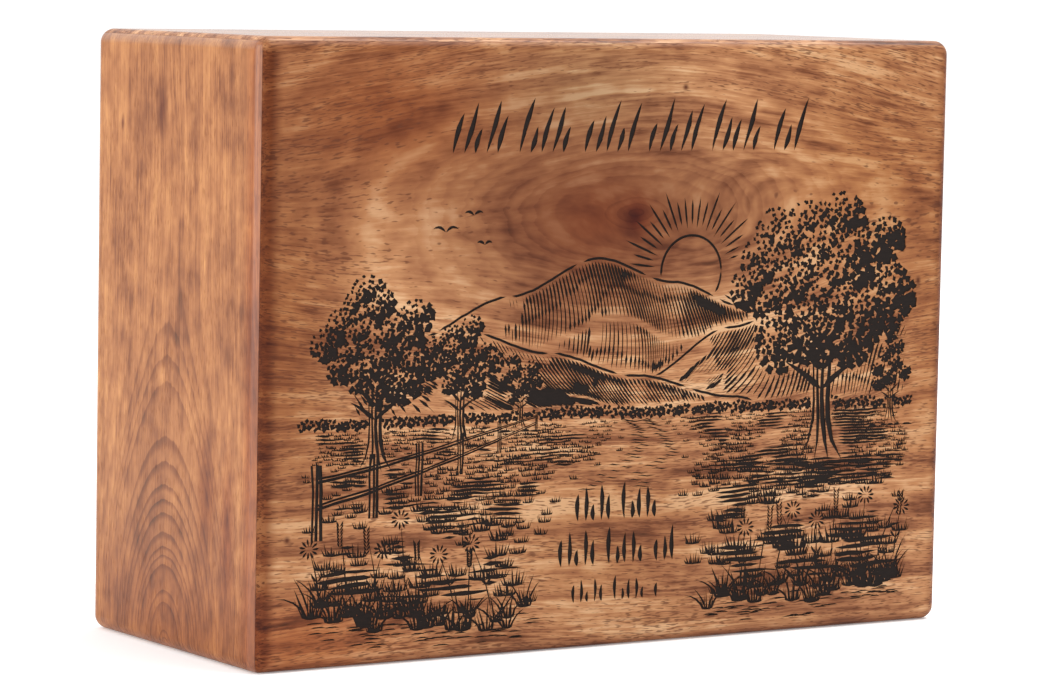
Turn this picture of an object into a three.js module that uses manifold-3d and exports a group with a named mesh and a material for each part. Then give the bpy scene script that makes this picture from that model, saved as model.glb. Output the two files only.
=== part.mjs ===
// Cremation urn box of solid hardwood, in millimetres, +Z up.
// Five boards are mitred together: four walls and a top. A loose panel closes the box from below:
// it lies in a rabbet round the foot of the walls, and four countersunk screws hold it.
// The origin is under the middle of the box, which stands on z = 0. The engraved front faces -Y.

import * as THREE from 'three';
import { mergeVertices } from 'three/addons/utils/BufferGeometryUtils.js';
import { ConvexGeometry } from 'three/addons/geometries/ConvexGeometry.js';
import { RoundedBoxGeometry } from 'three/addons/geometries/RoundedBoxGeometry.js';
import Module from 'manifold-3d';

// The closed box
const WIDTH = 258;
const DEPTH = 106;
const HEIGHT = 190;
const EDGE_RADIUS = 4.5;
const EDGE_STEPS = 6;

// The five boards, all of one thickness so that their mitres meet at 45 degrees
const BOARD = 12.5;
const GLUE_LINE = 0.3;

// The bottom panel and the rabbet that it lies in
const PANEL = 7;
const PANEL_FIT = 0.4;
const RABBET_WIDTH = 6.5;
const SEAT_GAP = 0.3;

// The screws, two into the front wall and two into the back wall
const SCREW_HEAD_RADIUS = 2.7;
const SCREW_HEAD_RIM = 0.4;
const SCREW_RADIUS = 1.45;
const SCREW_LENGTH = 18;
const SCREW_POINT = 4;
const SCREW_SUNK = 0.4;
const SCREW_FROM_END = 32;
const SCREW_HOLE_FIT = 0.3;
const CROSS_WIDTH = 0.9;
const CROSS_DEPTH = 1.3;
const ROUND_STEPS = 24;

// The inscription: rows of shallow strokes cut into the front, level with the places they hold
const STROKE_DEPTH = 0.4;
const SCRIPT_ROW = { left: -62, right: 66, foot: 155, height: 17, lean: 0.32, pitch: 4, width: 1.4 };
const UPPER_ROW = { left: -14, right: 15, foot: 40, height: 12, lean: 0, pitch: 2.9, width: 1.3 };
const LOWER_ROW = { left: -20, right: 22, foot: 26, height: 12, lean: 0, pitch: 3, width: 1.3 };
const SMALL_ROW = { left: -15, right: 17, foot: 14.5, height: 8, lean: 0, pitch: 2.6, width: 1 };

const OVERSHOOT = 5;
const MITRE_SETBACK = GLUE_LINE / Math.SQRT2;
const OUTER = new THREE.Box3(
  new THREE.Vector3(-WIDTH / 2, -DEPTH / 2, 0),
  new THREE.Vector3(WIDTH / 2, DEPTH / 2, HEIGHT),
);
const RABBET_SIZE = new THREE.Vector2(WIDTH, DEPTH).subScalar(2 * (BOARD - RABBET_WIDTH));
const SCREW_X = WIDTH / 2 - SCREW_FROM_END;
const SCREW_Y = DEPTH / 2 - BOARD + RABBET_WIDTH / 2;

const WOOD_FRONT = { color: 0xa9744a, roughness: 0.45, metalness: 0 };
const WOOD_SIDE = { color: 0xb9814f, roughness: 0.45, metalness: 0 };
const WOOD_PANEL = { color: 0xa87a50, roughness: 0.6, metalness: 0 };
const STEEL = { color: 0xb8b4aa, roughness: 0.35, metalness: 1 };

const wasm = await Module();
wasm.setup();

// A closed three.js geometry as a solid that can be cut and joined
function solid(geometry) {
  const shape = geometry.clone();
  shape.deleteAttribute('normal');
  shape.deleteAttribute('uv');
  const merged = mergeVertices(shape, 1e-3);
  const vertProperties = new Float32Array(merged.attributes.position.array);
  const triVerts = new Uint32Array(merged.index.array);
  return new wasm.Manifold(new wasm.Mesh({ numProp: 3, vertProperties, triVerts }));
}

// A cut solid as a named mesh of the given finish
function piece(name, cutSolid, finish) {
  const mesh = cutSolid.getMesh();
  const geometry = new THREE.BufferGeometry();
  geometry.setAttribute('position', new THREE.BufferAttribute(mesh.vertProperties, 3));
  geometry.setIndex(new THREE.BufferAttribute(mesh.triVerts, 1));
  geometry.computeVertexNormals();
  const result = new THREE.Mesh(geometry, new THREE.MeshStandardMaterial(finish));
  result.name = name;
  return result;
}

function block(width, depth, height, x, y, z) {
  return solid(new THREE.BoxGeometry(width, depth, height).translate(x, y, z));
}

// A turned solid on a vertical axis, from a profile of [radius, height] pairs
function turned(profile, x, y) {
  const points = profile.map(([radius, height]) => new THREE.Vector2(radius, height));
  const geometry = new THREE.LatheGeometry(points, ROUND_STEPS);
  return solid(geometry.rotateX(Math.PI / 2).translate(x, y, 0));
}

// The whole box from outside, with every edge and corner rounded
function roundedBox() {
  const geometry = new RoundedBoxGeometry(WIDTH, DEPTH, HEIGHT, EDGE_STEPS, EDGE_RADIUS);
  return solid(geometry.translate(0, 0, HEIGHT / 2));
}

// The mitred block that one board is cut from: its slopes are the mitre planes, and the foot of
// a wall is square. The board faces along the axis, towards side.
function mitredBlock(axis, side) {
  const across = [0, 1, 2].filter((other) => other !== axis);
  const corners = [];
  for (const depth of [-OVERSHOOT, BOARD]) {
    const outerFace = (side > 0 ? OUTER.max : OUTER.min).getComponent(axis);
    const slice = OUTER.clone().expandByScalar(-depth - MITRE_SETBACK);
    slice.min.z = -OVERSHOOT;
    for (const first of [slice.min, slice.max]) {
      for (const second of [slice.min, slice.max]) {
        const corner = new THREE.Vector3();
        corner.setComponent(axis, outerFace - side * depth);
        corner.setComponent(across[0], first.getComponent(across[0]));
        corner.setComponent(across[1], second.getComponent(across[1]));
        corners.push(corner);
      }
    }
  }
  return solid(new ConvexGeometry(corners));
}

// The step cut round the foot of the walls, a little deeper than the panel
function rabbet() {
  const depth = PANEL + SEAT_GAP;
  const height = depth + OVERSHOOT;
  return block(RABBET_SIZE.x, RABBET_SIZE.y, height, 0, 0, depth - height / 2);
}

// The outline of a screw, or of its hole where fit is more than nothing
function screwProfile(fit) {
  const foot = fit > 0 ? -OVERSHOOT : SCREW_SUNK;
  const neck = SCREW_SUNK + SCREW_HEAD_RIM + SCREW_HEAD_RADIUS - SCREW_RADIUS;
  return [
    [0, foot],
    [SCREW_HEAD_RADIUS + fit, foot],
    [SCREW_HEAD_RADIUS + fit, SCREW_SUNK + SCREW_HEAD_RIM + fit],
    [SCREW_RADIUS + fit, neck + fit],
    [SCREW_RADIUS + fit, SCREW_LENGTH - SCREW_POINT + fit],
    [0, SCREW_LENGTH + 2 * fit],
  ];
}

function screwHole(x, y) {
  return turned(screwProfile(SCREW_HOLE_FIT), x, y);
}

function screw(x, y) {
  const arm = 1.3 * SCREW_HEAD_RADIUS;
  const height = 2 * CROSS_DEPTH;
  return turned(screwProfile(0), x, y)
    .subtract(block(arm, CROSS_WIDTH, height, x, y, SCREW_SUNK))
    .subtract(block(CROSS_WIDTH, arm, height, x, y, SCREW_SUNK));
}

// One stroke of the inscription, leaning by lean for each unit of its height
function stroke(x, foot, height, lean, width) {
  const half = width / 2;
  const outline = new THREE.Shape([
    new THREE.Vector2(x, foot),
    new THREE.Vector2(x + half, foot + half),
    new THREE.Vector2(x + half + lean * height, foot + height - half),
    new THREE.Vector2(x + lean * height, foot + height),
    new THREE.Vector2(x - half + lean * height, foot + height - half),
    new THREE.Vector2(x - half, foot + half),
  ]);
  const cutter = new THREE.ExtrudeGeometry(outline, { depth: 2 * STROKE_DEPTH, bevelEnabled: false });
  return solid(cutter.rotateX(Math.PI / 2).translate(0, STROKE_DEPTH - DEPTH / 2, 0));
}

// A row of strokes whose heights rise and fall along it, with a space after every fifth
function strokeRow({ left, right, foot, height, lean, pitch, width }) {
  const count = Math.floor((right - left) / pitch);
  const strokes = [];
  for (let index = 0; index <= count; index += 1) {
    if (index % 6 !== 5) {
      const share = 0.72 + 0.28 * Math.sin(2.4 * index);
      strokes.push(stroke(left + index * pitch, foot, share * height, lean, width));
    }
  }
  return strokes.reduce((row, next) => row.add(next));
}

const body = roundedBox();
const foot = rabbet();
const screwPlaces = [];
for (const y of [-SCREW_Y, SCREW_Y]) {
  for (const x of [-SCREW_X, SCREW_X]) {
    screwPlaces.push([x, y]);
  }
}
const screwHoles = screwPlaces.map(([x, y]) => screwHole(x, y)).reduce((all, next) => all.add(next));

function wall(axis, side) {
  return mitredBlock(axis, side).intersect(body).subtract(foot).subtract(screwHoles);
}

function engravedFront() {
  const rows = [SCRIPT_ROW, UPPER_ROW, LOWER_ROW, SMALL_ROW].map(strokeRow);
  return rows.reduce((board, row) => board.subtract(row), wall(1, -1));
}

function bottomPanel() {
  const size = RABBET_SIZE.clone().subScalar(2 * PANEL_FIT);
  return block(size.x, size.y, PANEL, 0, 0, PANEL / 2).subtract(screwHoles);
}

const urn = new THREE.Group();
urn.add(piece('front_board', engravedFront(), WOOD_FRONT));
urn.add(piece('back_board', wall(1, 1), WOOD_FRONT));
urn.add(piece('left_side_board', wall(0, -1), WOOD_SIDE));
urn.add(piece('right_side_board', wall(0, 1), WOOD_SIDE));
urn.add(piece('top_board', mitredBlock(2, 1).intersect(body), WOOD_FRONT));
urn.add(piece('bottom_panel', bottomPanel(), WOOD_PANEL));
screwPlaces.forEach(([x, y], index) => {
  urn.add(piece(`panel_screw_${index + 1}`, screw(x, y), STEEL));
});

export default urn;
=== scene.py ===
"""A cremation urn box of figured hardwood: five mitred boards, a burnt engraving on the front, and a
screwed bottom panel. Metres, +Z up, engraved front towards -Y."""

import math
import random

import bmesh
import bpy
from mathutils import Matrix, Vector, noise
from mathutils.geometry import delaunay_2d_cdt


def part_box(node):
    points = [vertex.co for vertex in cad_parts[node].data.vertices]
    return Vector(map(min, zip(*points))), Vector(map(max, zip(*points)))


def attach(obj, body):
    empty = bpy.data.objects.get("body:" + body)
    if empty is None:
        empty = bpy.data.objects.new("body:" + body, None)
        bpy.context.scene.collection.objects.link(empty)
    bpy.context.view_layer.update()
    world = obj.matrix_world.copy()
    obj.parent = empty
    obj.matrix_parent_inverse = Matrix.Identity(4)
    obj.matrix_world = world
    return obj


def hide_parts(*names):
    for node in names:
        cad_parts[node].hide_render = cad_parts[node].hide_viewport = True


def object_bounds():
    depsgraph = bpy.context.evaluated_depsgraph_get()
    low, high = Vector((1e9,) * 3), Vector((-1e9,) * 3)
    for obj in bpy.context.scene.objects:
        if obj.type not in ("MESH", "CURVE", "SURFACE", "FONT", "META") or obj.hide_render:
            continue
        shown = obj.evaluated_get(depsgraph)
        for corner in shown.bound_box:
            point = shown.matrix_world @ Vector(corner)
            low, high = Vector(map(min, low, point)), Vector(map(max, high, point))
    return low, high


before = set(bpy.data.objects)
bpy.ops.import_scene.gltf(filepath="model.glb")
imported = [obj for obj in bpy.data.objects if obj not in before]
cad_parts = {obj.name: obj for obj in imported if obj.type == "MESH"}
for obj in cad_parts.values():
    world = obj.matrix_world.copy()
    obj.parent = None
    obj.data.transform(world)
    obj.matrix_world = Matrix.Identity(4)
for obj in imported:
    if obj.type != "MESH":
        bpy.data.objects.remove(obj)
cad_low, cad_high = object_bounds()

# The camera stands a little left of the front and a little above the middle of the box.
MM = 0.001
VIEW_YAW, VIEW_PITCH, VIEW_ROLL = (math.radians(angle) for angle in (32.85, 5.01, 1.063))
VIEW_DISTANCE = 1368.6 * MM
VIEW_TARGET = Vector((-14.4, -21.2, 92.7)) * MM
VIEW_LENS = 148.6

camera = bpy.data.objects.new("view_camera", bpy.data.cameras.new("view_camera"))
bpy.context.scene.collection.objects.link(camera)
bpy.context.scene.camera = camera
camera.data.lens = VIEW_LENS
camera.data.sensor_width = 36
camera.data.clip_start = 0.05
turn = Matrix.Rotation(-VIEW_YAW, 4, "Z") @ Matrix.Rotation(math.pi / 2 - VIEW_PITCH, 4, "X")
turn = turn @ Matrix.Rotation(VIEW_ROLL, 4, "Z")
camera.matrix_world = Matrix.Translation(VIEW_TARGET + turn @ Vector((0, 0, VIEW_DISTANCE))) @ turn

# The boards: planed hardwood of one thickness, mitred at 45 degrees and glued, with every outer edge
# rounded over after gluing, so that each rounding is half one board and half its neighbour.
EDGE_RADIUS = 4.5 * MM
EDGE_SEGMENTS = 12
GLUE_SEAM = 0.07 * MM
RABBET_WIDTH = 6.5 * MM
front_low, front_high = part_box("front_board")
panel_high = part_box("bottom_panel")[1]
BOARD = front_high[1] - front_low[1]
RABBET_DEPTH = panel_high[2] + 0.3 * MM
CUT_DISTANCE = 1e-8


def outer_box():
    """The whole box from outside, with every edge and corner rounded."""
    shape = bmesh.new()
    bmesh.ops.create_cube(shape, size=1)
    bmesh.ops.scale(shape, vec=Vector(cad_high) - Vector(cad_low), verts=shape.verts)
    bmesh.ops.translate(shape, vec=(Vector(cad_high) + Vector(cad_low)) / 2, verts=shape.verts)
    bmesh.ops.bevel(
        shape, geom=shape.edges[:], offset=EDGE_RADIUS, offset_type="OFFSET", affect="EDGES",
        segments=EDGE_SEGMENTS, profile=0.5, material=-1, clamp_overlap=True,
    )
    return shape


def saw(shape, point, outward):
    """Cuts away what lies beyond a plane and closes the cut."""
    everything = shape.verts[:] + shape.edges[:] + shape.faces[:]
    cut = bmesh.ops.bisect_plane(
        shape, geom=everything, dist=CUT_DISTANCE, plane_co=point, plane_no=outward, clear_outer=True,
    )
    rim = [item for item in cut["geom_cut"] if isinstance(item, bmesh.types.BMEdge)]
    bmesh.ops.contextual_create(shape, geom=rim)


def outward(axis, side):
    direction = Vector((0, 0, 0))
    direction[axis] = side
    return direction


def face_at(axis, side):
    return (cad_high if side > 0 else cad_low)[axis]


def mitred_board(axis, side):
    """One board of the box, which faces along the axis, towards side."""
    shape = outer_box()
    own = outward(axis, side)
    for other_axis in range(3):
        for other_side in (-1, 1):
            if other_axis == axis or (other_axis, other_side) == (2, -1):
                continue
            edge = Vector((0, 0, 0))
            edge[axis], edge[other_axis] = face_at(axis, side), face_at(other_axis, other_side)
            slope = (outward(other_axis, other_side) - own).normalized()
            saw(shape, edge - slope * GLUE_SEAM / 2, slope)
    saw(shape, own * (abs(face_at(axis, side)) - BOARD), -own)
    bmesh.ops.recalc_face_normals(shape, faces=shape.faces)
    return shape


def to_object(shape, name):
    mesh = bpy.data.meshes.new(name)
    shape.to_mesh(mesh)
    shape.free()
    made = bpy.data.objects.new(name, mesh)
    bpy.context.scene.collection.objects.link(made)
    return made


def rabbeted(board):
    """Cuts the step for the bottom panel round the foot of a wall."""
    step = bmesh.new()
    bmesh.ops.create_cube(step, size=1)
    inner = BOARD - RABBET_WIDTH
    size = [cad_high[0] - cad_low[0] - 2 * inner, cad_high[1] - cad_low[1] - 2 * inner, 2 * RABBET_DEPTH]
    bmesh.ops.scale(step, vec=size, verts=step.verts)
    cutter = to_object(step, "rabbet_cutter")
    cut = board.modifiers.new("rabbet", "BOOLEAN")
    cut.operation, cut.solver, cut.object = "DIFFERENCE", "EXACT", cutter
    cut_mesh = bpy.data.meshes.new_from_object(board.evaluated_get(bpy.context.evaluated_depsgraph_get()))
    board.modifiers.clear()
    board.data = cut_mesh
    bpy.data.objects.remove(cutter)


FLAT_WITHIN = 0.9999


def shade_rounding(mesh):
    """Rounded strips shade smoothly, and flat faces stay flat."""
    for face in mesh.polygons:
        face.use_smooth = max(abs(part) for part in face.normal) < FLAT_WITHIN
    shape = bmesh.new()
    shape.from_mesh(mesh)
    for edge in shape.edges:
        edge.smooth = len(edge.link_faces) == 2 and edge.calc_face_angle(0) < math.radians(25)
    shape.to_mesh(mesh)
    shape.free()


# Hardwood under a thin satin lacquer, which gives it a soft sheen, stronger where it lies thick on the rims.
# Each board is cut from the log its own way, so the growth rings, which are cylinders round the pith, come
# out as stripes, arches or rings. Sizes are in millimetres, as (along the grain, across it). The pores are
# drawn about twice as wide as real ones, which are too fine to show.
WOOD_TONES = ("502e1a", "7c4a2e", "a26c48", "bd875c", "d6aa80")
PORE_COLOUR = "5e3421"
FIBRE = (16, 0.8)
STRAND = (34, 3.4)
CURL = (8, 5)
CLOUD = (60, 26)
BEND = (130, 40)
PORE = (3.6, 0.5)
PORE_CROWD = (40, 6)
BEND_SWAY = 16
RINGS_PER_MM = 0.34
STRIPE_PITCH = 9
RING_CROWD_PITCH = 14


def srgb(code):
    """A hex colour as the linear values that a shader takes."""
    parts = [int(code[place:place + 2], 16) / 255 for place in (0, 2, 4)]
    return [part / 12.92 if part <= 0.04045 else ((part + 0.055) / 1.055) ** 2.4 for part in parts] + [1]


def add(tree, kind, sockets=(), output=0, **settings):
    """The output of a new node. sockets gives its inputs, in order or by name or number, each a value or
    another node's output."""
    made = tree.nodes.new("ShaderNode" + kind)
    for name, value in settings.items():
        setattr(made, name, value)
    for key, value in sockets.items() if isinstance(sockets, dict) else enumerate(sockets):
        if isinstance(value, bpy.types.NodeSocket):
            tree.links.new(value, made.inputs[key])
        else:
            made.inputs[key].default_value = value
    return made.outputs[output]


def figure_noise(tree, grain, size, seed, detail=2.0, roughness=0.5):
    """Uneven lumps of that size along and across the grain."""
    scale = (1 / size[0], 1 / size[1], 1 / size[1])
    place = add(tree, "VectorMath", (grain, scale, (seed, seed, seed)), operation="MULTIPLY_ADD")
    return add(tree, "TexNoise", {"Vector": place, "Scale": 1, "Detail": detail, "Roughness": roughness})


def ring_bands(tree, radius, pitch, seed, detail=1.0):
    """Uneven bands that follow the rings, about a pitch apart."""
    place = add(tree, "Math", (radius, 1 / pitch, seed), operation="MULTIPLY_ADD")
    return add(tree, "TexNoise", {"W": place, "Scale": 1, "Detail": detail}, noise_dimensions="1D")


def spot(tree, grain, centre, reach):
    """1 at a centre, falling to 0 at its reach."""
    flat = add(tree, "VectorMath", (grain, (-centre[0], -centre[1], 0)), operation="ADD")
    flat = add(tree, "VectorMath", (flat, (1 / reach[0], 1 / reach[1], 0)), operation="MULTIPLY")
    distance = add(tree, "VectorMath", (flat,), "Value", operation="LENGTH")
    return add(tree, "MapRange", (distance, 1, 0), interpolation_type="SMOOTHSTEP")


def swing(tree, value, amount, onto):
    """onto, raised or lowered by amount as value goes from 0 to 1."""
    change = add(tree, "Math", (value, 2 * amount, -amount), operation="MULTIPLY_ADD")
    return add(tree, "Math", (change, onto), operation="ADD")


def arches(foot, top, depth):
    """A board sawn off the heart of a leaning log: its rings close in arches between foot and top."""
    def behind(tree, along, across):
        below = add(tree, "MapRange", (along, top, foot))
        steeper = add(tree, "Math", (below, 2), operation="POWER")
        return add(tree, "Math", (steeper, -depth, depth), operation="MULTIPLY_ADD")
    return behind


def round_knot(centre, squeeze, straight_below):
    """A board with a knot, round which the rings run as long ovals, down to where they lie straight."""
    def behind(tree, along, across):
        near = add(tree, "MapRange", (across, straight_below, centre[1], 0, squeeze),
                   interpolation_type="SMOOTHSTEP")
        from_knot = add(tree, "Math", (along, centre[0]), operation="SUBTRACT")
        return add(tree, "Math", (from_knot, near), operation="MULTIPLY")
    return behind


def from_rims(tree, place, axes):
    """How far a point of a board lies from the nearest rim of its face, the foot apart."""
    parts = add(tree, "SeparateXYZ", (place,)).node.outputs
    rims = []
    for axis in axes[:2]:
        reach = parts[axis] if axis == 2 else add(tree, "Math", (parts[axis],), operation="ABSOLUTE")
        rims.append(add(tree, "Math", (cad_high[axis] / MM, reach), operation="SUBTRACT"))
    return add(tree, "Math", rims, operation="MINIMUM")


def hardwood(name, axes, heart, behind, seed, light, late, bands, figure=1.0, clear=None, calm=None,
             knot=None, patches=(), narrow=1.0, coat=0.08, rim_coat=0.08):
    """Lacquered hardwood. axes gives the object's axis along the grain, across the face and into the board;
    heart is where the middle of the log lies across the face, behind how deep it lies, and narrow how much
    the rings are squeezed across the grain. light is the tone, late how dark the ring lines are, bands how
    strong the broad stripes are, and figure how coarse the fibres. clear, calm and knot are each a (centre,
    reach): ring lines fade out of clear, fibres fade within calm and part round knot. patches are (centre,
    reach, colour, strength). coat and rim_coat are how thick the lacquer is on the face and its rims."""
    material = bpy.data.materials.new(name)
    material.use_nodes = True
    tree = material.node_tree
    shader = tree.nodes["Principled BSDF"]
    place = add(tree, "TexCoord", output="Object")
    place = add(tree, "VectorMath", {0: place, "Scale": 1 / MM}, operation="SCALE")
    parts = add(tree, "SeparateXYZ", (place,)).node.outputs
    grain = add(tree, "CombineXYZ", [parts[axis] for axis in axes])
    along, across, inward = add(tree, "SeparateXYZ", (grain,)).node.outputs

    # Fibres run with the grain, sway a little and part round a knot
    bends = figure_noise(tree, grain, BEND, seed, 1.0)
    parted = add(tree, "Math", (bends, BEND_SWAY, across), operation="MULTIPLY_ADD")
    if knot:
        off = add(tree, "Math", (knot[0][1], across), operation="SUBTRACT")
        share = add(tree, "Math", (spot(tree, grain, *knot), 0.92), operation="MULTIPLY")
        parted = add(tree, "Math", (off, share, parted), operation="MULTIPLY_ADD")
    flow = add(tree, "CombineXYZ", (along, parted, inward))
    fibres = figure_noise(tree, flow, (FIBRE[0] / figure, FIBRE[1]), seed, 3.0, 0.62)
    strands = figure_noise(tree, flow, (STRAND[0] / figure ** 2, STRAND[1]), seed + 7, 2.0, 0.6)
    clouds = figure_noise(tree, grain, CLOUD, seed + 9)
    curl = figure_noise(tree, grain, CURL, seed + 13)

    # Growth rings by their distance from the middle of the log, with lines that the fibres tear
    from_heart = add(tree, "Math", (across, heart), operation="SUBTRACT")
    from_heart = add(tree, "Math", (from_heart, narrow), operation="MULTIPLY")
    from_middle = add(tree, "Math", (inward,), operation="ABSOLUTE")
    under_face = add(tree, "Math", (cad_high[axes[2]] / MM, from_middle), operation="SUBTRACT")
    depth = add(tree, "Math", (under_face, 0.2, behind(tree, along, across)), operation="MULTIPLY_ADD")
    squares = add(tree, "Math", (depth, depth), operation="MULTIPLY")
    squares = add(tree, "Math", (from_heart, from_heart, squares), operation="MULTIPLY_ADD")
    radius = add(tree, "Math", (squares, 0.5), operation="POWER")
    torn = add(tree, "Math", (fibres, 1.6, bends), operation="MULTIPLY_ADD")
    torn = add(tree, "Math", (strands, 5, torn), operation="MULTIPLY_ADD")
    radius = add(tree, "Math", (torn, figure ** 4, radius), operation="MULTIPLY_ADD")
    crowding = ring_bands(tree, radius, RING_CROWD_PITCH, seed + 4)
    uneven = add(tree, "Math", (crowding, 4), operation="MULTIPLY")
    phase = add(tree, "Math", (radius, RINGS_PER_MM, uneven), operation="MULTIPLY_ADD")
    phase = add(tree, "Math", (phase,), operation="FRACT")
    darkening = add(tree, "MapRange", (phase, 0.45, 0.92), interpolation_type="SMOOTHSTEP")
    ending = add(tree, "MapRange", (phase, 1, 0.92), interpolation_type="SMOOTHSTEP")
    late_wood = add(tree, "Math", (darkening, ending), operation="MULTIPLY")
    if clear:
        share = add(tree, "Math", (spot(tree, grain, *clear), 0.85, 0.15), operation="MULTIPLY_ADD")
        late_wood = add(tree, "Math", (late_wood, share), operation="MULTIPLY")

    # Colour: fibres, stripes and clouds of lighter and darker wood, then stains and knots over them
    streaks = swing(tree, strands, 0.44 * figure ** 2, 0)
    streaks = swing(tree, fibres, 0.42 * figure, streaks)
    if calm:
        share = add(tree, "Math", (spot(tree, grain, *calm), -0.55, 1), operation="MULTIPLY_ADD")
        streaks = add(tree, "Math", (streaks, share), operation="MULTIPLY")
    tone = swing(tree, ring_bands(tree, radius, STRIPE_PITCH, seed, 2.0), bands, light)
    tone = add(tree, "Math", (tone, streaks), operation="ADD")
    tone = swing(tree, clouds, 0.3, tone)
    tone = swing(tree, curl, 0.24, tone)
    tone = add(tree, "Math", (late_wood, -late, tone), operation="MULTIPLY_ADD")
    colour = add(tree, "ValToRGB", (tone,))
    stops = colour.node.color_ramp.elements
    while len(stops) < len(WOOD_TONES):
        stops.new(0.5)
    for index, code in enumerate(WOOD_TONES):
        stops[index].position = 0.1 + 0.8 * index / (len(WOOD_TONES) - 1)
        stops[index].color = srgb(code)
    for centre, reach, code, strength in patches:
        factor = add(tree, "Math", (spot(tree, grain, centre, reach), strength), operation="MULTIPLY")
        colour = add(tree, "Mix", {0: factor, 6: colour, 7: srgb(code)}, 2, data_type="RGBA",
                     blend_type="MULTIPLY")

    # Open pores lie in crowds, with fewer of them near a knot
    pores = figure_noise(tree, flow, PORE, seed + 5, 1.0)
    crowd = figure_noise(tree, flow, PORE_CROWD, seed + 2, 1.0)
    limit = add(tree, "Math", (crowd, -0.36, 0.75), operation="MULTIPLY_ADD")
    if knot:
        near_knot = add(tree, "Math", (spot(tree, grain, *knot), 2), operation="POWER")
        limit = add(tree, "Math", (near_knot, 0.3, limit), operation="MULTIPLY_ADD")
    pore = add(tree, "Math", (pores, limit), operation="SUBTRACT")
    pore = add(tree, "MapRange", (pore, -0.03, 0.09), interpolation_type="SMOOTHSTEP")
    factor = add(tree, "Math", (pore, 0.72 * figure ** 2), operation="MULTIPLY")
    colour = add(tree, "Mix", {0: factor, 6: colour, 7: srgb(PORE_COLOUR)}, 2, data_type="RGBA")
    tree.links.new(colour, shader.inputs["Base Color"])

    # Each pore is a fine pit, where the lacquer is duller
    height = add(tree, "Math", (fibres, 0.4), operation="MULTIPLY")
    height = add(tree, "Math", (pore, -1, height), operation="MULTIPLY_ADD")
    bump = add(tree, "Bump", {"Strength": 0.4, "Distance": 0.05 * MM, "Height": height})
    tree.links.new(bump, shader.inputs["Normal"])
    roughness = add(tree, "Math", (fibres, 0.12, 0.38), operation="MULTIPLY_ADD")
    roughness = add(tree, "Math", (pore, 0.2, roughness), operation="MULTIPLY_ADD")
    tree.links.new(roughness, shader.inputs["Roughness"])
    shader.inputs["IOR"].default_value = 1.45
    shader.inputs["Specular IOR Level"].default_value = 0.13
    shader.inputs["Coat Weight"].default_value = coat
    shader.inputs["Coat Roughness"].default_value = 0.2
    if rim_coat != coat:
        thick = add(tree, "MapRange", (from_rims(tree, place, axes), 4.6, 3, coat, rim_coat),
                    interpolation_type="SMOOTHSTEP")
        tree.links.new(thick, shader.inputs["Coat Weight"])
    return material


def darken_edges(material, strength):
    """The front and back grow darker near their side rims and foot, fading out just below the top."""
    tree = material.node_tree
    base = tree.nodes["Principled BSDF"].inputs["Base Color"]
    wood = base.links[0].from_socket
    place = add(tree, "TexCoord", output="Object")
    across, _, height = add(tree, "SeparateXYZ", (place,)).node.outputs
    from_left = add(tree, "Math", (across, cad_low[0]), operation="SUBTRACT")
    from_right = add(tree, "Math", (cad_high[0] + 2.2 * MM, across), operation="SUBTRACT")
    from_foot = add(tree, "Math", (height, 4 * MM), operation="ADD")
    from_side = add(tree, "Math", (from_left, from_right), operation="MINIMUM")
    nearest = add(tree, "Math", (from_side, from_foot, 3 * MM), operation="SMOOTH_MIN")
    from_top = add(tree, "Math", (cad_high[2], height), operation="SUBTRACT")
    sides = add(tree, "MapRange", (nearest, 8.5 * MM, 3.5 * MM), interpolation_type="SMOOTHSTEP")
    below_top = add(tree, "MapRange", (from_top, 2.6 * MM, 5 * MM), interpolation_type="SMOOTHSTEP")
    share = add(tree, "Math", (sides, below_top), operation="MULTIPLY")
    share = add(tree, "Math", (share, strength), operation="MULTIPLY")
    darker = add(tree, "Mix", {0: share, 6: wood, 7: srgb("a87c50")}, 2, data_type="RGBA",
                 blend_type="MULTIPLY")
    tree.links.new(darker, base)


# The picture burnt into the front is drawn in solid dark shapes and tapered strokes, as a wood engraver
# would. Places are in millimetres on the face, u to the right of its middle and v above the foot.
draw = random.Random(7)
burnt = []
nearer = []


def rough(u, v, size, seed=0.0):
    """Smooth noise from -1 to 1 with lumps of about that size in millimetres."""
    return noise.noise(Vector((u / size, v / size, seed)))


def hidden(u, v):
    return any(covers(u, v) for covers in nearer)


def smooth_between(low, high, value):
    share = min(max((value - low) / (high - low), 0.0), 1.0)
    return share * share * (3 - 2 * share)


def pen(points, widths):
    """One stroke along points, as an outline that runs anticlockwise and ends in points."""
    right, left = [], []
    for index, (u, v) in enumerate(points):
        before, after = points[max(index - 1, 0)], points[min(index + 1, len(points) - 1)]
        du, dv = after[0] - before[0], after[1] - before[1]
        length = math.hypot(du, dv) or 1.0
        half = widths[index] / 2
        offset_u, offset_v = -dv / length * half, du / length * half
        right.append((u - offset_u, v - offset_v))
        if 0 < index < len(points) - 1:
            left.append((u + offset_u, v + offset_v))
    burnt.append(right + left[::-1])


def tapered(points, width, thick_at=0.4):
    """A stroke that is widest part of the way along and comes to a point at both ends."""
    last = len(points) - 1
    widths = []
    for index in range(len(points)):
        along = index / last
        side = along / thick_at if along < thick_at else (1 - along) / (1 - thick_at)
        widths.append(width * max(side, 0.02) ** 0.6)
    pen(points, widths)


def shade_line(points, pitch, tone, thinnest=0.13, longest=12):
    """A line whose width follows the tone, broken where the tone is light or something nearer covers it."""
    run, widths = [], []

    def close():
        if len(run) >= 3:
            widths[0] = widths[-1] = 0.04
            pen(list(run), list(widths))
        run.clear()
        widths.clear()

    for u, v in points:
        width = pitch * min(tone(u, v), 0.86)
        if width < thinnest or hidden(u, v):
            close()
        else:
            run.append((u, v))
            widths.append(width)
            if len(run) > longest:
                close()
    close()


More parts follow.
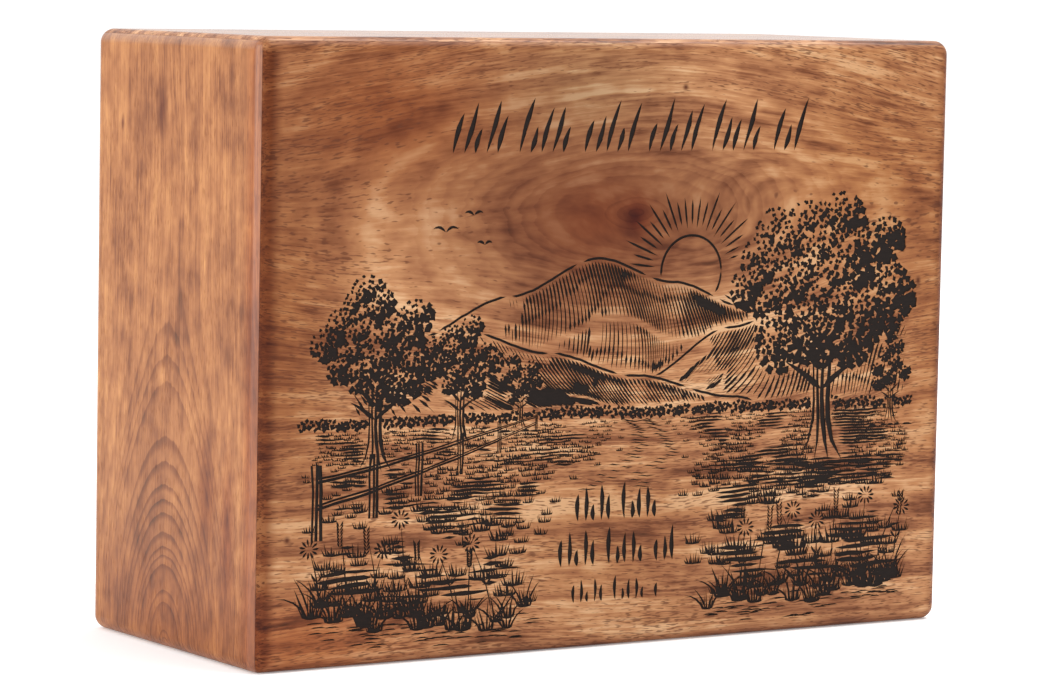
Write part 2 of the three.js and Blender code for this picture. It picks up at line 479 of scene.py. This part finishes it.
def curve(start, angle, length, bend, steps=3):
    """Points along an arc from start, which turns by bend radians over its length."""
    u, v = start
    points = [(u, v)]
    for step in range(steps):
        heading = angle + bend * (step + 0.5) / steps
        u += math.cos(heading) * length / steps
        v += math.sin(heading) * length / steps
        points.append((u, v))
    return points


# Rows of strokes in the places of the inscription. They aren't letters.
def stroke_row(left, right, foot, height, lean, pitch, width):
    for index in range(int((right - left) / pitch) + 1):
        if index % 6 == 5:
            continue
        tall = height * (0.72 + 0.28 * math.sin(2.4 * index))
        base = left + index * pitch
        points = []
        for step in range(9):
            rise = step / 8
            sway = 0.35 * math.sin(math.pi * rise) * (1 if index % 2 else -1)
            points.append((base + lean * tall * rise + sway, foot + tall * rise))
        tapered(points, width, 0.4 if index % 3 else 0.6)


stroke_row(-62, 66, 155, 17, 0.32, 4.0, 1.9)
stroke_row(-14, 15, 40, 12, 0, 2.9, 1.8)
stroke_row(-20, 22, 26, 12, 0, 3.0, 1.8)
stroke_row(-15, 17, 14.5, 8, 0, 2.6, 1.3)


# Meadow in front, cut by a path that widens towards the viewer
def path_half_width(v):
    return 7 + 21 * smooth_between(76, 34, v) + 5 * smooth_between(30, 6, v)


def path_middle(v):
    return 1 + 13 * math.sin((v - 48) / 9) * smooth_between(48, 62, v)


def from_path(u, v):
    return abs(u - path_middle(v)) - path_half_width(v)


def meadow_edge(u):
    """The lower edge of the picture, which fades out in long grass."""
    return 9 + 7 * abs(u / 115) ** 2 + 3 * rough(u, 0, 14, 4.0)


def meadow_top(u):
    return 72 + 2.0 * rough(u, 0, 40, 2.0)


def picture_side(u, v):
    """1 within the picture, falling to 0 at its ragged left and right edges."""
    edge = 113 + 5 * rough(0, v, 7, 12.0)
    return smooth_between(edge + 3, edge - 7, abs(u - 1))


def tussock(u, v, width, height, blades):
    """A clump of grass as one dark shape: blades that lean out at both sides, joined only at the foot."""
    outline = [(u - 0.25 * width, v - 0.03 * height), (u, v - draw.uniform(0.02, 0.06) * height),
               (u + 0.28 * width, v - 0.02 * height), (u + 0.5 * width, v + 0.03 * height)]
    for index in range(blades):
        across = 0.5 - (index + draw.uniform(0.3, 0.7)) / blades
        lean = 2.0 * across + draw.uniform(-0.3, 0.3)
        tall = height * (1 - 1.2 * across * across) * draw.choice((0.5, 0.75, 0.95, 1.15))
        root = u + across * width
        outline.append((root + lean * 0.5 * tall, v + tall))
        if index < blades - 1:
            notch = root - 0.42 * width / blades + lean * 0.12 * tall
            outline.append((notch, v + draw.uniform(0.04, 0.2) * height))
    outline.append((u - 0.5 * width, v + 0.03 * height))
    burnt.append(outline)


def blade(u, v, length, lean, width, steps=4):
    tapered(curve((u, v), math.pi / 2 - 0.35 * lean, length, -0.9 * lean, steps), width, 0.25)


def seed_head(u, v, height, lean):
    stem = curve((u, v), math.pi / 2 - 0.2 * lean, height, -0.5 * lean, 5)
    tapered(stem, 0.55, 0.3)
    for index in range(7):
        share = index / 6
        at = stem[-1][0] - lean * share * 0.6, stem[-1][1] - share * height * 0.26
        for side in (-1, 1):
            tapered(curve(at, math.pi / 2 - side * 0.8, 2.4 - share * 0.6, side * 0.5, 3), 0.75, 0.5)


def daisy(u, v, height, lean):
    stem = curve((u, v), math.pi / 2 - 0.2 * lean, height, -0.4 * lean, 5)
    tapered(stem, 0.6, 0.3)
    middle_u, middle_v = stem[-1]
    for index in range(11):
        turn = 2 * math.pi * index / 11
        at = middle_u + 1.1 * math.cos(turn), middle_v + 0.8 * math.sin(turn)
        tapered(curve(at, turn, 2.5, 0.15, 3), 0.85, 0.65)
    for side in (-1, 1):
        leaf = stem[2]
        tapered(curve(leaf, math.pi / 2 - side * 0.9, 3.6, side * 0.5, 3), 1.0, 0.5)


def flower_covers(places):
    return lambda u, v: any(math.hypot(u - a, v - b) < size for a, b, size in places)


flowers = []
for side, near_edge, far_edge in ((-1, -46, -106), (1, 48, 110)):
    for index in range(9):
        u = near_edge + (far_edge - near_edge) * (index + draw.uniform(-0.3, 0.3)) / 8
        foot = meadow_edge(u) + draw.uniform(3, 8)
        height = draw.uniform(17, 27)
        lean = draw.uniform(-1, 1)
        if index % 2:
            seed_head(u, foot, height, lean)
        else:
            daisy(u, foot, height, lean)
        flowers.append((u + 0.4 * lean * 0.3 * height, foot + height * 0.96, 4.6))
nearer.append(flower_covers(flowers))

# Long grass along the foot of the picture, and stray turf below it
for side, near_edge, far_edge in ((-1, -34, -108), (1, 37, 109)):
    for index in range(21):
        share = index / 20
        u = near_edge + (far_edge - near_edge) * share + draw.uniform(-2, 2)
        v = meadow_edge(u) + draw.uniform(-2.5, 4)
        size = draw.uniform(8, 13) * (0.75 + 0.35 * share)
        tussock(u, v, 0.55 * size, 0.75 * size, 8)
        for lean in (-1.1, -0.5, 0.3, 0.9):
            blade(u + lean * 1.4, v, size * draw.uniform(0.9, 1.4), lean + draw.uniform(-0.3, 0.3), 0.75)
        for dash in range(3):
            at_u, at_v = u + draw.uniform(-4, 4), v - draw.uniform(1.5, 5.5)
            points = []
            for step in range(4):
                points.append((at_u + (step / 3 - 0.5) * draw.uniform(4, 8), at_v + 0.3 * math.sin(step)))
            tapered(sorted(points), 0.55, 0.5)

# Fence: posts and two rails on the left, going back towards the trees
fence = []
for index in range(6):
    back = index / 5
    fence.append((-108 + 78 * back ** 0.85, 40 + 29 * back, 22 - 16 * back))


def bar(low, high, width, lanes):
    """A post or rail as a few dark lanes with light left between them."""
    du, dv = high[0] - low[0], high[1] - low[1]
    length = math.hypot(du, dv)
    nu, nv = -dv / length, du / length
    for lane in range(lanes):
        shift = (lane - (lanes - 1) / 2) * width / lanes
        half = (0.43 - 0.2 * lane / lanes) * width / lanes
        near, far = [], []
        for step in range(4):
            along = step / 3
            bend = draw.uniform(-0.08, 0.08) * width
            middle = low[0] + du * along + nu * (shift + bend), low[1] + dv * along + nv * (shift + bend)
            near.append((middle[0] - nu * half, middle[1] - nv * half))
            far.append((middle[0] + nu * half, middle[1] + nv * half))
        burnt.append(near + far[::-1])


def fence_covers(u, v):
    if any(abs(u - post) < 0.11 * tall and foot < v < foot + tall * 1.02 for post, foot, tall in fence):
        return True
    for (left, foot, tall), (right, next_foot, next_tall) in zip(fence, fence[1:]):
        if left <= u <= right:
            share = (u - left) / (right - left)
            height = tall + (next_tall - tall) * share
            base = foot + (next_foot - foot) * share
            if any(abs(v - base - height * level) < 0.075 * height + 0.15 for level in (0.42, 0.78)):
                return True
    return False


for (u, foot, tall), (next_u, next_foot, next_tall) in zip(fence, fence[1:]):
    for level in (0.42, 0.78):
        bar((u, foot + tall * level), (next_u, next_foot + next_tall * level), 0.1 * tall, 2)
for u, foot, tall in fence:
    bar((u, foot - 0.04 * tall), (u, foot + tall), 0.2 * tall, 3)
nearer.append(fence_covers)


# Broadleaf trees: the crown is a heap of rounded clumps, each lit from the upper left and made of leaf
# sprays
def spray(u, v, size, turn):
    """A spray of leaves as one small dark shape with a ragged edge."""
    outline = []
    stretch = draw.uniform(0.6, 0.95)
    for index in range(9):
        reach = size * (draw.uniform(0.95, 1.2) if index % 2 else draw.uniform(0.6, 0.85))
        angle = 2 * math.pi * index / 9
        along, across = reach * math.cos(angle), stretch * reach * math.sin(angle)
        outline.append((u + along * math.cos(turn) - across * math.sin(turn),
                        v + along * math.sin(turn) + across * math.cos(turn)))
    burnt.append(outline)


class Tree:
    def __init__(self, root, height, spread, clumps, seed):
        self.root, self.height, self.spread = root, height, spread
        shape = random.Random(seed)
        u, v = root
        self.middle = (u, v + 0.66 * height)
        self.clumps = []
        for index in range(clumps):
            turn = 2.4 * index + shape.uniform(-0.3, 0.3)
            reach = math.sqrt((index + 0.5) / clumps)
            clump_u = self.middle[0] + 0.5 * spread * reach * math.cos(turn) * 0.84
            clump_v = self.middle[1] + 0.34 * height * reach * math.sin(turn) * 0.84
            size = spread * shape.uniform(0.105, 0.15) * (1.15 - 0.3 * reach)
            self.clumps.append((clump_u, clump_v, size))
        self.clumps.sort(key=lambda clump: clump[1])

    def covers(self, u, v):
        if any(math.hypot(u - a, (v - b) * 1.1) < size * 1.06 for a, b, size in self.clumps):
            return True
        root_u, root_v = self.root
        return abs(u - root_u) < 0.045 * self.height and root_v - 1 < v < root_v + 0.5 * self.height

    def in_front(self, place, u, v):
        """True where a clump lower in the heap lies over this one."""
        return any(math.hypot(u - a, (v - b) * 1.1) < size * 0.9 for a, b, size in self.clumps[:place])

    def leaves(self, leaf):
        for place, (a, b, size) in enumerate(self.clumps):
            whole_u = (a - self.middle[0]) / (0.5 * self.spread)
            whole_v = (b - self.middle[1]) / (0.34 * self.height)
            whole = 0.5 * (0.8 * whole_v - 0.6 * whole_u)
            rings = max(round(size / (leaf * 1.15)), 2)
            for ring in range(rings + 1):
                radius = size * ring / rings
                count = max(round(2 * math.pi * radius / (leaf * 1.3)), 1)
                for index in range(count):
                    turn = 2 * math.pi * (index + 0.5 * (ring % 2)) / count + draw.uniform(-0.2, 0.2)
                    u = a + radius * math.cos(turn) + draw.uniform(-0.2, 0.2) * leaf
                    v = b + radius * math.sin(turn) / 1.1 + draw.uniform(-0.2, 0.2) * leaf
                    if hidden(u, v) or self.in_front(place, u, v):
                        continue
                    light = math.cos(turn - 2.2) * radius / size + 0.5 * whole + 0.3 * rough(u, v, 3.5, 5.0)
                    reach = leaf * (0.9 - 0.52 * light)
                    if reach > 0.42 * leaf or ring == rings:
                        spray(u, v, min(max(reach, 0.5 * leaf), 1.05 * leaf), draw.uniform(0, 6.28))

    def trunk(self):
        u, v = self.root
        width = 0.085 * self.height
        for lane in range(4):
            shift = (lane / 3 - 0.5) * width
            points = []
            for step in range(7):
                along = step / 6
                flare = 1 + 1.5 * (1 - along) ** 6 - 0.25 * along
                sway = 0.1 * width * math.sin(5 * along + lane)
                points.append((u + shift * flare + sway, v - 0.02 * self.height + 0.5 * self.height * along))
            tapered(points, width * (0.16, 0.2, 0.3, 0.32)[lane], 0.3)
        for side in (-1, 1):
            for index in range(3):
                start = (u, v + self.height * (0.26 + 0.07 * index))
                heading = math.pi / 2 - side * (0.85 - 0.15 * index)
                tapered(curve(start, heading, 0.24 * self.spread, -side * 0.3, 5), 0.34 * width, 0.12)


def shadow(root, length, height):
    """Level strokes and low grass under a tree."""
    for row in range(int(height / 1.3)):
        v = root[1] - 0.8 - row * 1.3
        half = length * math.sqrt(max(1 - (row * 1.3 / height) ** 2, 0)) / 2
        for index in range(5):
            middle = root[0] + (index / 4 - 0.5) * 1.5 * half + draw.uniform(-0.1, 0.1) * half
            reach = half * draw.uniform(0.18, 0.34)
            points = []
            for step in range(4):
                points.append((middle + reach * (step / 3 * 2 - 1), v + 0.3 * math.sin(step + row)))
            if not hidden(*points[2]):
                tapered(points, 0.95, 0.5)


oak = Tree((79, 56), 84, 74, 30, 11)
left_tree = Tree((-88, 60), 57, 44, 20, 5)
middle_tree = Tree((-58, 66), 40, 29, 14, 9)
small_tree = Tree((-36, 70), 24, 17, 8, 3)
edge_tree = Tree((107, 66), 30, 19, 8, 4)
for tree, leaf in ((oak, 1.7), (left_tree, 1.46), (middle_tree, 1.25), (small_tree, 1.1), (edge_tree, 1.2)):
    tree.leaves(leaf)
    tree.trunk()
    shadow(tree.root, 0.9 * tree.spread, 0.13 * tree.spread)
    nearer.append(tree.covers)

# The meadow itself: level shading strokes, and over them ranks of tussocks, small and close in the distance,
# large and dark near the viewer
def ground_tone(u, v):
    off = from_path(u, v)
    if off < 0 or v < meadow_edge(u) + 1 or v > meadow_top(u):
        return 0
    clods = 0.45 + 1.3 * rough(u * 0.42, v, 6.0, 1.0) + 0.5 * rough(u * 0.5, v, 2.4, 6.0)
    return picture_side(u, v) * smooth_between(0, 20, off) * smooth_between(12, 26, v) * clods


v = 15.0
while v < meadow_top(0) - 1:
    near = smooth_between(72, 16, v)
    width = 2.4 + 5.0 * near
    height = 1.0 + 4.2 * near
    u = -116 + draw.uniform(0, width)
    while u < 117:
        at_u, at_v = u + draw.uniform(-0.3, 0.3) * width, v + draw.uniform(-0.35, 0.35) * height
        off = from_path(at_u, at_v)
        clods = 0.66 + 1.0 * rough(at_u * 0.6, at_v, 8.0, 1.0)
        density = smooth_between(-1, 14, off) * clods + 0.4 * smooth_between(4, 0, abs(off))
        density *= picture_side(at_u, at_v)
        if off > 0 and density > 0.3 and at_v > meadow_edge(at_u) and not hidden(at_u, at_v + 0.4 * height):
            share = min(density, 1.0)
            growth = 0.6 + 0.55 * share
            tussock(at_u, at_v, width * growth, height * growth, 4 + round(5 * near))
        u += width * draw.uniform(0.7, 1.2)
    v += 0.7 * height + 0.45

v = 12.0
while v < 72:
    pitch = 2.1 - 1.1 * smooth_between(16, 66, v)
    points = []
    for index in range(80):
        u = -118 + index * 3.0
        points.append((u, v + 1.2 * rough(u, v, 26, 3.0) + 0.4 * rough(u, v, 5, 8.0)))
    shade_line(points, 0.9 * pitch, ground_tone, thinnest=0.3, longest=7)
    v += pitch


# Ruts in the path, and low turf along the meadow's far edge
for index in range(26):
    v = 71 - 21 * (index / 25) ** 1.3
    half = path_half_width(v) - 2
    for side in (-1, 1):
        middle = path_middle(v) + side * half * draw.uniform(0.25, 0.75)
        reach = draw.uniform(1.5, 4.0)
        points = [(middle + reach * (step / 3 * 2 - 1), v + 0.2 * math.sin(2 * step)) for step in range(4)]
        if not hidden(*points[1]):
            tapered(points, 0.45, 0.5)
nearer.append(lambda u, v: v < meadow_top(u))

# Hedge along the foot of the hills, of round bushes
for index in range(60):
    u = -112 + index * 3.82 + draw.uniform(-0.8, 0.8)
    size = draw.uniform(1.9, 3.4)
    v = meadow_top(u) + 0.25 * size
    for place in range(9):
        reach = size * math.sqrt(place / 9)
        at = u + reach * math.cos(2.4 * place), v + 0.5 * size + 0.8 * reach * math.sin(2.4 * place)
        lit = math.cos(2.4 * place - 2.2) * reach / size
        if at[1] > meadow_top(u) - 0.5 and not hidden(*at) and lit < 0.75:
            spray(at[0], at[1], 0.95 - 0.3 * lit, draw.uniform(0, 6.28))
nearer.append(lambda u, v: v < meadow_top(u) + 3.6)


# Hills, nearest first, parted by hedgerows into fields that are hatched lighter and darker
def ridge(points):
    """A smooth skyline through a few points."""
    def height(u):
        if u <= points[0][0]:
            return points[0][1]
        for (u0, v0), (u1, v1) in zip(points, points[1:]):
            if u <= u1:
                return v0 + (v1 - v0) * smooth_between(u0, u1, u)
        return points[-1][1]
    return height


FIELD_TONES = (0.24, 0.62, 0.36, 0.74, 0.18, 0.5)


def hill(skyline, foot, left, right, pitch, lean, seed, field_width, field_depth):
    def ends(u):
        return smooth_between(left, left + 8, u) * smooth_between(right, right - 8, u)

    def tone(u, v):
        depth = skyline(u) - v
        if depth < 0 or u < left or u > right:
            return 0
        column = (u + 1.3 * math.tan(lean) * depth) / field_width + 0.3 * rough(u, v, 22, seed)
        row = (depth + 0.06 * (u - left)) / field_depth + 0.25 * rough(u, v, 18, seed + 6)
        field = math.floor(column) * 3 + math.floor(row) * 2
        shade = FIELD_TONES[field % len(FIELD_TONES)]
        slope = (skyline(u + 2) - skyline(u - 2)) / 4
        shade += -0.42 * slope + 0.3 * rough(u * 0.7, v * 0.4, 4.0, seed + 3)
        to_hedge = min(abs(column - round(column)) * field_width, abs(row - round(row)) * field_depth)
        if to_hedge < 0.75:
            shade = 0.84
        return ends(u) * min(max(shade, 0.08), 0.86)

    outline = []
    u = left
    while u <= right:
        outline.append((u, skyline(u) + 0.25 * rough(u, 0, 3, seed)))
        u += 2.0
    shade_line(outline, 0.95, lambda u, v: 0.86 * ends(u))
    start = left - 45
    while start < right + 45:
        points = []
        u, v = start, skyline(start) - 0.8
        heading = -math.pi / 2 + lean
        while v > foot:
            points.append((u, v))
            turn = 0.04 * math.sin(v / 9 + start / 31) + 0.03 * rough(u, v, 12, seed + 1)
            heading = min(max(heading + turn, -2.7), -0.45)
            u += 1.5 * math.cos(heading)
            v += 1.5 * math.sin(heading)
        shade_line(points, pitch, tone)
        start += pitch / abs(math.cos(lean))
    nearer.append(lambda u, v: left <= u <= right and v < skyline(u) + 0.6)


near_hill = ridge(((-118, 88), (-92, 97), (-58, 101), (-26, 93), (6, 85), (44, 77), (60, 74)))
right_hill = ridge(((-22, 74), (10, 84), (42, 99), (76, 108), (118, 98)))
far_hill = ridge(((-78, 98), (-40, 111), (-8, 122), (20, 114), (50, 105), (84, 100)))
hill(near_hill, 74, -100, 58, 1.25, 0.62, 2.0, 25, 9)
hill(right_hill, 74, -20, 115, 1.25, -0.55, 5.0, 27, 10)
hill(far_hill, 78, -74, 80, 1.15, 0.3, 8.0, 30, 11)


# Low sun with rays, and three birds
SUN = (27, 117)
SUN_RADIUS = 11.5
for index in range(48):
    turn = 2 * math.pi * index / 48
    start = SUN_RADIUS + (2.2 if index % 2 else 3.4)
    length = 13.5 if index % 2 else 8.0
    points = []
    for step in range(5):
        reach = start + length * step / 4
        points.append((SUN[0] + reach * math.cos(turn), SUN[1] + reach * math.sin(turn)))
    shade_line([point for point in points if point[1] < 143], 0.85, lambda u, v: 0.86)
disc = []
for step in range(61):
    turn = step * math.pi / 30
    disc.append((SUN[0] + SUN_RADIUS * math.cos(turn), SUN[1] + SUN_RADIUS * math.sin(turn)))
shade_line(disc, 0.95, lambda u, v: 0.86, longest=70)
for u, v, size in ((-64, 131, 4.6), (-54, 136, 3.4), (-50, 127, 2.8)):
    for side in (-1, 1):
        wing = []
        for t in (0, 0.2, 0.4, 0.6, 0.8, 1):
            wing.append((u + side * size * t, v + size * (1.5 * t - 1.25 * t * t) * 0.8))
        tapered(wing, 1.0, 0.35)


# The front board: the grain lies along the box, and the picture is burnt a quarter of a millimetre into
# its face. The burn leaves flat, dark, matt char at the bottom of each cut.
ALONG_X_UPRIGHT, UPRIGHT, LYING = (0, 2, 1), (2, 1, 0), (0, 1, 2)
BURN_DEPTH = 0.25 * MM
FACE_MARGIN = 0.001 * MM
CHAR_GRAIN = (3, 0.6)
front_wood = hardwood(
    "hardwood_front", ALONG_X_UPRIGHT, 136, round_knot((6, 136), 0.4, 50), 3.0, 0.605, 0.1, 0.38,
    clear=((6, 136), (140, 70)), calm=((-78, 142), (120, 62)), knot=((6, 136), (175, 88)),
    patches=(
        ((-8, 134), (92, 52), "8c5c40", 0.95), ((-85, 168), (95, 52), "bc9678", 0.95),
        ((-122, 100), (44, 110), "c0a284", 0.9), ((6, 135), (9, 11), "cc8850", 0.8),
        ((5, 134), (4, 5), "a86438", 0.7), ((128, 92), (44, 100), "d8c0a4", 0.8),
        ((2, 36), (70, 44), "e4dace", 0.9), ((-112, 8), (64, 26), "dcb08c", 0.8),
        ((100, 150), (80, 70), "dcc8b0", 0.9), ((-14, 176), (60, 26), "d8dcdc", 0.9),
        ((23.4, 175), (1.6, 1.6), "6a3020", 0.9), ((117.3, 112), (1.6, 2.4), "6a3020", 0.9),
        ((-117.9, 40), (1.8, 1.8), "6a3020", 0.9),
    ),
)
darken_edges(front_wood, 0.85)
char = bpy.data.materials.new("burnt_wood")
char.use_nodes = True
char_tree = char.node_tree
char_shader = char_tree.nodes["Principled BSDF"]
char_place = add(char_tree, "TexCoord", output="Object")
char_place = add(char_tree, "VectorMath", {0: char_place, "Scale": 1 / MM}, operation="SCALE")
char_grain = figure_noise(char_tree, char_place, CHAR_GRAIN, 0, 3.0)
char_colours = {0: char_grain, 6: srgb("0c0806"), 7: srgb("241813")}
char_colour = add(char_tree, "Mix", char_colours, 2, data_type="RGBA")
char_tree.links.new(char_colour, char_shader.inputs["Base Color"])
char_shader.inputs["Roughness"].default_value = 0.8
char_shader.inputs["Specular IOR Level"].default_value = 0.25

front_board = to_object(mitred_board(1, -1), "engraved_front_board")
rabbeted(front_board)
shade_rounding(front_board.data)


def triangles_of(points, edges, loops):
    """The plane cut up along edges and loops, and how many loops each triangle lies in."""
    points, _, faces, _, _, inside = delaunay_2d_cdt(points, edges, loops, 1, 1e-4, True)
    return points, faces, [len(labels) for labels in inside]


def sides_of(face):
    return [tuple(sorted(pair)) for pair in zip(face, face[1:] + face[:1])]


def joined(outer, outlines):
    """The overlapping outlines as one dark region: the triangles within outer, and whether each is dark."""
    points = list(outer)
    loops = [tuple(range(len(points)))]
    for outline in outlines:
        loops.append(tuple(range(len(points), len(points) + len(outline))))
        points.extend(Vector(point) for point in outline)
    points, faces, depths = triangles_of(points, [], loops)
    dark_sides = {}
    for face, depth in zip(faces, depths):
        for side in sides_of(face):
            dark_sides.setdefault(side, set()).add(depth > 1)
    border = [side for side, kinds in dark_sides.items() if len(kinds) == 2]
    ends = sorted({end for side in border for end in side})
    kept = {index: len(outer) + place for place, index in enumerate(ends)}
    edges = [(kept[start], kept[end]) for start, end in border]
    points = list(outer) + [points[index] for index in kept]
    points, faces, _ = triangles_of(points, edges, [tuple(range(len(outer)))])
    neighbours = {}
    for index, face in enumerate(faces):
        for side in sides_of(face):
            neighbours.setdefault(side, []).append(index)
    borders = {tuple(sorted(edge)) for edge in edges}
    start = next(index for index, face in enumerate(faces) if 0 in face)
    dark = {start: False}
    waiting = [start]
    while waiting:
        index = waiting.pop()
        for side in sides_of(faces[index]):
            for other in neighbours[side]:
                if other not in dark:
                    dark[other] = dark[index] != (side in borders)
                    waiting.append(other)
    return points, faces, [dark[index] for index in range(len(faces))]


def burn(board, outlines):
    """Cuts the outlines into the flat front of the board and sinks them."""
    shape = bmesh.new()
    shape.from_mesh(board.data)
    flat = max(shape.faces, key=lambda face: face.calc_area() if face.normal.y < -FLAT_WITHIN else 0)
    corners = [corner.co.copy() for corner in flat.verts]
    bmesh.ops.delete(shape, geom=[flat], context="FACES_ONLY")
    outer = [Vector((corner.x / MM, corner.z / MM)) for corner in corners]
    if sum(a.x * b.y - b.x * a.y for a, b in zip(outer, outer[1:] + outer[:1])) < 0:
        outer.reverse()
    points, faces, dark = joined(outer, outlines)
    front = corners[0].y
    verts = [shape.verts.new((point.x * MM, front, point.y * MM)) for point in points]
    for face, is_dark in zip(faces, dark):
        shape.faces.new([verts[index] for index in face]).material_index = int(is_dark)
    bmesh.ops.remove_doubles(shape, verts=shape.verts, dist=FACE_MARGIN)
    sunk_faces = [face for face in shape.faces if face.material_index == 1]
    sunk = bmesh.ops.extrude_face_region(shape, geom=sunk_faces)
    floor_verts = [item for item in sunk["geom"] if isinstance(item, bmesh.types.BMVert)]
    bmesh.ops.delete(shape, geom=sunk_faces, context="FACES_ONLY")
    bmesh.ops.translate(shape, vec=(0, BURN_DEPTH, 0), verts=floor_verts)
    bmesh.ops.recalc_face_normals(shape, faces=shape.faces)
    shape.to_mesh(board.data)
    shape.free()


burn(front_board, burnt)
for material in (front_wood, char):
    front_board.data.materials.append(material)
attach(front_board, "root")
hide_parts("front_board")

# The other boards, of the same hardwood: the back and the top have the grain along the box as the front
# has, and the two sides have it upright. They are mitred to each other and lacquered together.
back_wood = hardwood(
    "hardwood_back", ALONG_X_UPRIGHT, 60, round_knot((-52, 60), 0.36, 0), 11.0, 0.55, 0.14, 0.16,
    clear=((-52, 60), (90, 60)), knot=((-52, 60), (110, 60)),
)
darken_edges(back_wood, 0.7)
top_wood = hardwood(
    "hardwood_top", LYING, -90, arches(-60, 160, 60), 17.0, 0.56, 0.12, 0.12, coat=0.9, rim_coat=0.25,
)
left_wood = hardwood(
    "hardwood_left", UPRIGHT, 3, arches(0, 122, 50), 23.0, 0.475, 0.18, 0.05, figure=0.62,
    clear=((40, 3), (125, 60)), calm=((40, 3), (90, 45)), narrow=1.15, coat=0.2, rim_coat=1.0,
    patches=(
        ((95, 0), (900, 900), "fcf4dc", 1.0), ((166, 8), (15, 4.5), "9c6844", 0.85),
        ((161, 34), (3.5, 1.6), "8a5238", 0.85), ((40, -36), (40, 7), "c89468", 0.7),
        ((95, -50), (260, 8), "dcae80", 0.8), ((50, -23), (34, 10), "caa884", 0.9),
        ((8, 0), (40, 120), "e0c4a0", 0.8),
    ),
)
right_wood = hardwood(
    "hardwood_right", UPRIGHT, -20, arches(190, 60, 46), 29.0, 0.5, 0.21, 0.07, figure=0.62,
    clear=((150, -20), (125, 60)), narrow=1.15, rim_coat=1.0,
    patches=(((95, 0), (900, 900), "faeccc", 1.0),),
)
OTHER_BOARDS = (
    ("back_board", 1, 1, back_wood, "face_grain_wood"),
    ("top_board", 2, 1, top_wood, "face_grain_wood"),
    ("left_side_board", 0, -1, left_wood, "upright_grain_wood"),
    ("right_side_board", 0, 1, right_wood, "upright_grain_wood"),
)
for node_name, axis, side, material, slot_name in OTHER_BOARDS:
    board = to_object(mitred_board(axis, side), "lacquered_" + node_name)
    if axis != 2:
        rabbeted(board)
    shade_rounding(board.data)
    board.data.materials.append(material)
    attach(board, "root")
    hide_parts(node_name)

# The bottom panel: a thin hardwood board, lacquered once and left matt, that lies in the rabbet. Four
# countersunk screws of nickel-plated steel, which shine softly, hold it from below.
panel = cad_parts["bottom_panel"]
panel.data.materials.clear()
panel_wood = hardwood("hardwood_panel", LYING, 10, arches(-80, 140, 50), 37.0, 0.5, 0.14, 0.12)
panel.data.materials.append(panel_wood)
plating = bpy.data.materials.new("nickel_plated_steel")
plating.use_nodes = True
plating_shader = plating.node_tree.nodes["Principled BSDF"]
plating_shader.inputs["Base Color"].default_value = srgb("c9c3b8")
plating_shader.inputs["Metallic"].default_value = 1
plating_shader.inputs["Roughness"].default_value = 0.32
for index in range(1, 5):
    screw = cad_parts[f"panel_screw_{index}"]
    screw.data.materials.clear()
    screw.data.materials.append(plating)

# Studio: a pale floor and backdrop, light from above and behind, and a broad soft lamp on the left that
# draws a light line down the rounded corner.
floor_shape = bmesh.new()
bmesh.ops.create_grid(floor_shape, x_segments=1, y_segments=1, size=40)
floor = to_object(floor_shape, "studio_floor")
paper = bpy.data.materials.new("white_paper")
paper.use_nodes = True
paper_shader = paper.node_tree.nodes["Principled BSDF"]
paper_shader.inputs["Base Color"].default_value = (0.93, 0.93, 0.93, 1)
paper_shader.inputs["Roughness"].default_value = 1
paper_shader.inputs["Specular IOR Level"].default_value = 0
paper_shader.inputs["Emission Color"].default_value = (1, 1, 1, 1)
paper_shader.inputs["Emission Strength"].default_value = 0.22
floor.data.materials.append(paper)

world = bpy.data.worlds.new("studio_light")
bpy.context.scene.world = world
world.use_nodes = True
world_tree = world.node_tree
backdrop = world_tree.nodes["Background"]
direction = add(world_tree, "TexCoord", output="Generated")
_, backwards, upwards = add(world_tree, "SeparateXYZ", (direction,)).node.outputs
from_behind = add(world_tree, "MapRange", (backwards, -0.75, 0.35, 0.22, 0.92),
                  interpolation_type="SMOOTHSTEP")
from_above = add(world_tree, "MapRange", (upwards, 0.1, 0.8, 0, 0.4), interpolation_type="SMOOTHSTEP")
shining = add(world_tree, "Math", (from_behind, from_above), operation="ADD")
seen = add(world_tree, "LightPath", output="Is Camera Ray")
shown = add(world_tree, "Mix", {0: seen, 6: shining, 7: (1, 1, 1, 1)}, 2, data_type="RGBA")
world_tree.links.new(shown, backdrop.inputs["Color"])


def lamp(name, place, target, size, power):
    light = bpy.data.lights.new(name, "AREA")
    light.shape, light.size, light.size_y, light.energy = "RECTANGLE", size[0], size[1], power
    made = bpy.data.objects.new(name, light)
    bpy.context.scene.collection.objects.link(made)
    made.visible_camera = False
    made.location = place
    made.rotation_euler = (Vector(target) - Vector(place)).to_track_quat("-Z", "Y").to_euler()


lamp("left_lamp", (-1.25, -0.1, 0.56), (0, 0, 0.45), (1.5, 1.1), 9.9)
lamp("top_lamp", (0.9, -0.35, 2.2), (0, 0, 0.1), (2.0, 1.4), 45)
bpy.context.scene.view_settings.view_transform = "Standard"
